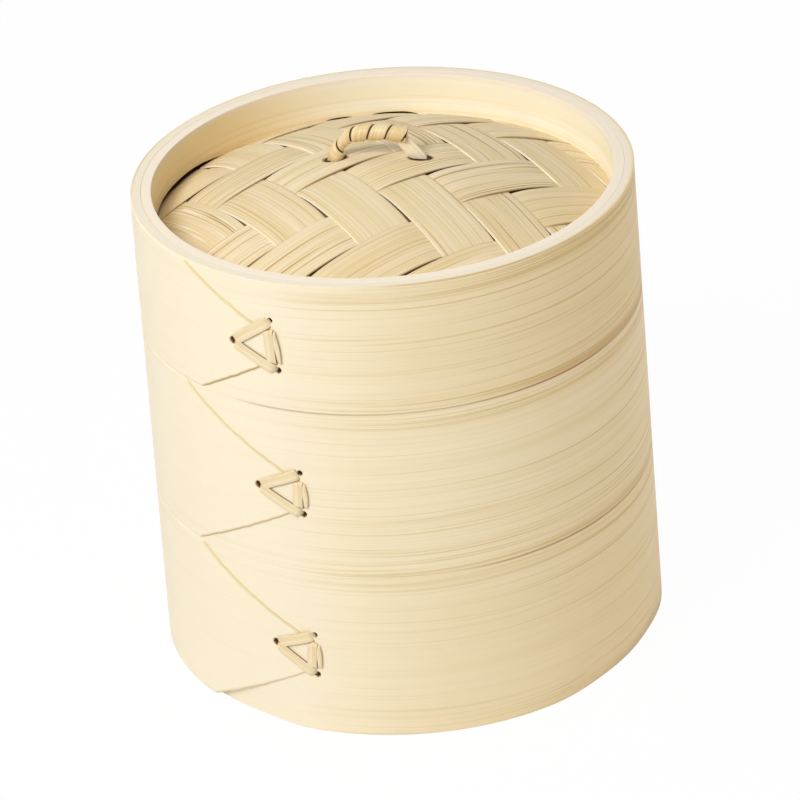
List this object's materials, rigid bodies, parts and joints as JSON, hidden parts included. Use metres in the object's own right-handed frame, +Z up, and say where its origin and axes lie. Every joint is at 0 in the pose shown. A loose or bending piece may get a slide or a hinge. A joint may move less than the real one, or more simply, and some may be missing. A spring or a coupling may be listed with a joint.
{
  "type": "bamboo steamer basket",
  "caption": "Round bamboo steamer: stacked laced hoops with slatted floors under a lift-off lid with a woven dome and a wrapped cane handle.",
  "frame": {"origin": "centre of the base, on the surface the lower tier stands on", "axes": "+Z up along the axis of the hoops; the hoop laps face the front left, between -Y and -X"},
  "size_m": [0.152, 0.1516, 0.1611],
  "materials": {
    "hoop_bamboo": "satin",
    "liner_bamboo": "satin",
    "floor_bamboo": "matte",
    "woven_bamboo": "matte",
    "cane": "satin"
  },
  "bodies": {
    "lower_tier": {"lower_outer_hoop": "hoop_bamboo", "lower_liner_hoop": "liner_bamboo", "lower_floor_ring": "floor_bamboo", "lower_cross_bar_1": "floor_bamboo", "lower_cross_bar_2": "floor_bamboo", "lower_slat_1": "floor_bamboo", "lower_slat_2": "floor_bamboo", "lower_slat_3": "floor_bamboo", "lower_slat_4": "floor_bamboo", "lower_slat_5": "floor_bamboo", "lower_slat_6": "floor_bamboo", "lower_slat_7": "floor_bamboo", "lower_slat_8": "floor_bamboo", "lower_slat_9": "floor_bamboo", "lower_lap_stitch": "cane"},
    "upper_tier": {"upper_outer_hoop": "hoop_bamboo", "upper_liner_hoop": "liner_bamboo", "upper_floor_ring": "floor_bamboo", "upper_cross_bar_1": "floor_bamboo", "upper_cross_bar_2": "floor_bamboo", "upper_slat_1": "floor_bamboo", "upper_slat_2": "floor_bamboo", "upper_slat_3": "floor_bamboo", "upper_slat_4": "floor_bamboo", "upper_slat_5": "floor_bamboo", "upper_slat_6": "floor_bamboo", "upper_slat_7": "floor_bamboo", "upper_slat_8": "floor_bamboo", "upper_slat_9": "floor_bamboo", "upper_lap_stitch": "cane"},
    "lid": {"lid_outer_hoop": "hoop_bamboo", "lid_upper_liner": "liner_bamboo", "lid_lower_liner": "liner_bamboo", "lid_weft_strip_1": "woven_bamboo", "lid_weft_strip_2": "woven_bamboo", "lid_weft_strip_3": "woven_bamboo", "lid_weft_strip_4": "woven_bamboo", "lid_weft_strip_5": "woven_bamboo", "lid_weft_strip_6": "woven_bamboo", "lid_weft_strip_7": "woven_bamboo", "lid_weft_strip_8": "woven_bamboo", "lid_weft_strip_9": "woven_bamboo", "lid_warp_strip_1": "woven_bamboo", "lid_warp_strip_2": "woven_bamboo", "lid_warp_strip_3": "woven_bamboo", "lid_warp_strip_4": "woven_bamboo", "lid_warp_strip_5": "woven_bamboo", "lid_warp_strip_6": "woven_bamboo", "lid_warp_strip_7": "woven_bamboo", "lid_warp_strip_8": "woven_bamboo", "lid_warp_strip_9": "woven_bamboo", "lid_handle_core": "cane", "lid_handle_wrap": "cane", "lid_handle_key": "floor_bamboo", "lid_lap_stitch": "cane"}
  },
  "joints": [
    {"name": "upper_lift", "type": "slide", "parent": "lower_tier", "child": "upper_tier", "axis": [0, 0, 1], "range_m": [0, 0.1]},
    {"name": "lid_lift", "type": "slide", "parent": "upper_tier", "child": "lid", "axis": [0, 0, 1], "range_m": [0, 0.1]}
  ]
}
